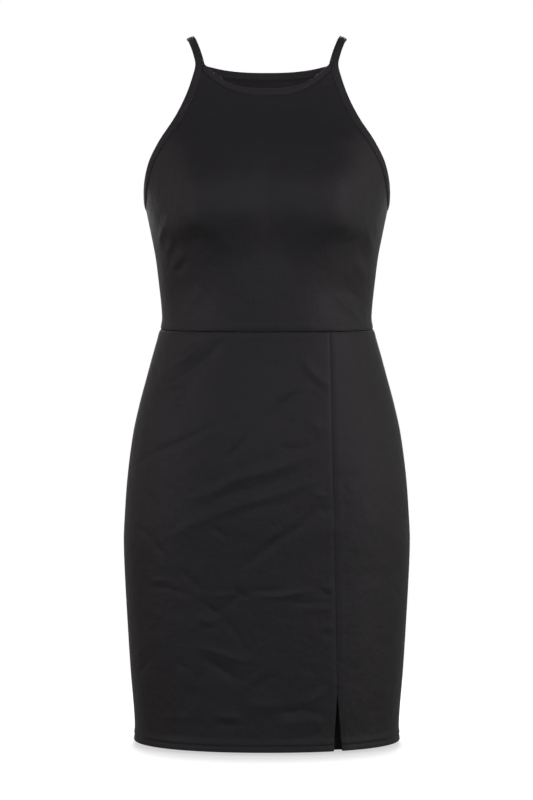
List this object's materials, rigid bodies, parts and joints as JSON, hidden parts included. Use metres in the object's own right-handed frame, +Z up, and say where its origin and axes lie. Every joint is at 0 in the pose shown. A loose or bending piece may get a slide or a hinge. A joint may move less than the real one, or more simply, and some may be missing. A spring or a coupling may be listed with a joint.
{
  "type": "bodycon dress",
  "caption": "Sleeveless short bodycon dress of stretch cloth with a high scoop neck, cut-away armholes bound into straps, a waist seam and a skirt with an offset front seam ending in a slit.",
  "frame": {"origin": "midway between the two straps, at the underside of their tops, where the wearer's shoulders carry the dress", "axes": "+Z up, +X towards the wearer's left, the dress's front faces -Y"},
  "size_m": [0.349, 0.2399, 0.8536],
  "materials": {
    "cloth": "matte stretch crepe",
    "binding": "matte folded binding"
  },
  "bodies": {
    "root": {"bodice_front": "cloth", "bodice_back": "cloth", "skirt_front_main": "cloth", "skirt_front_side": "cloth", "skirt_back": "cloth", "slit_underlap": "cloth", "neck_binding_front": "binding", "neck_binding_back": "binding", "armhole_binding_left": "binding", "armhole_binding_right": "binding"}
  },
  "joints": []
}
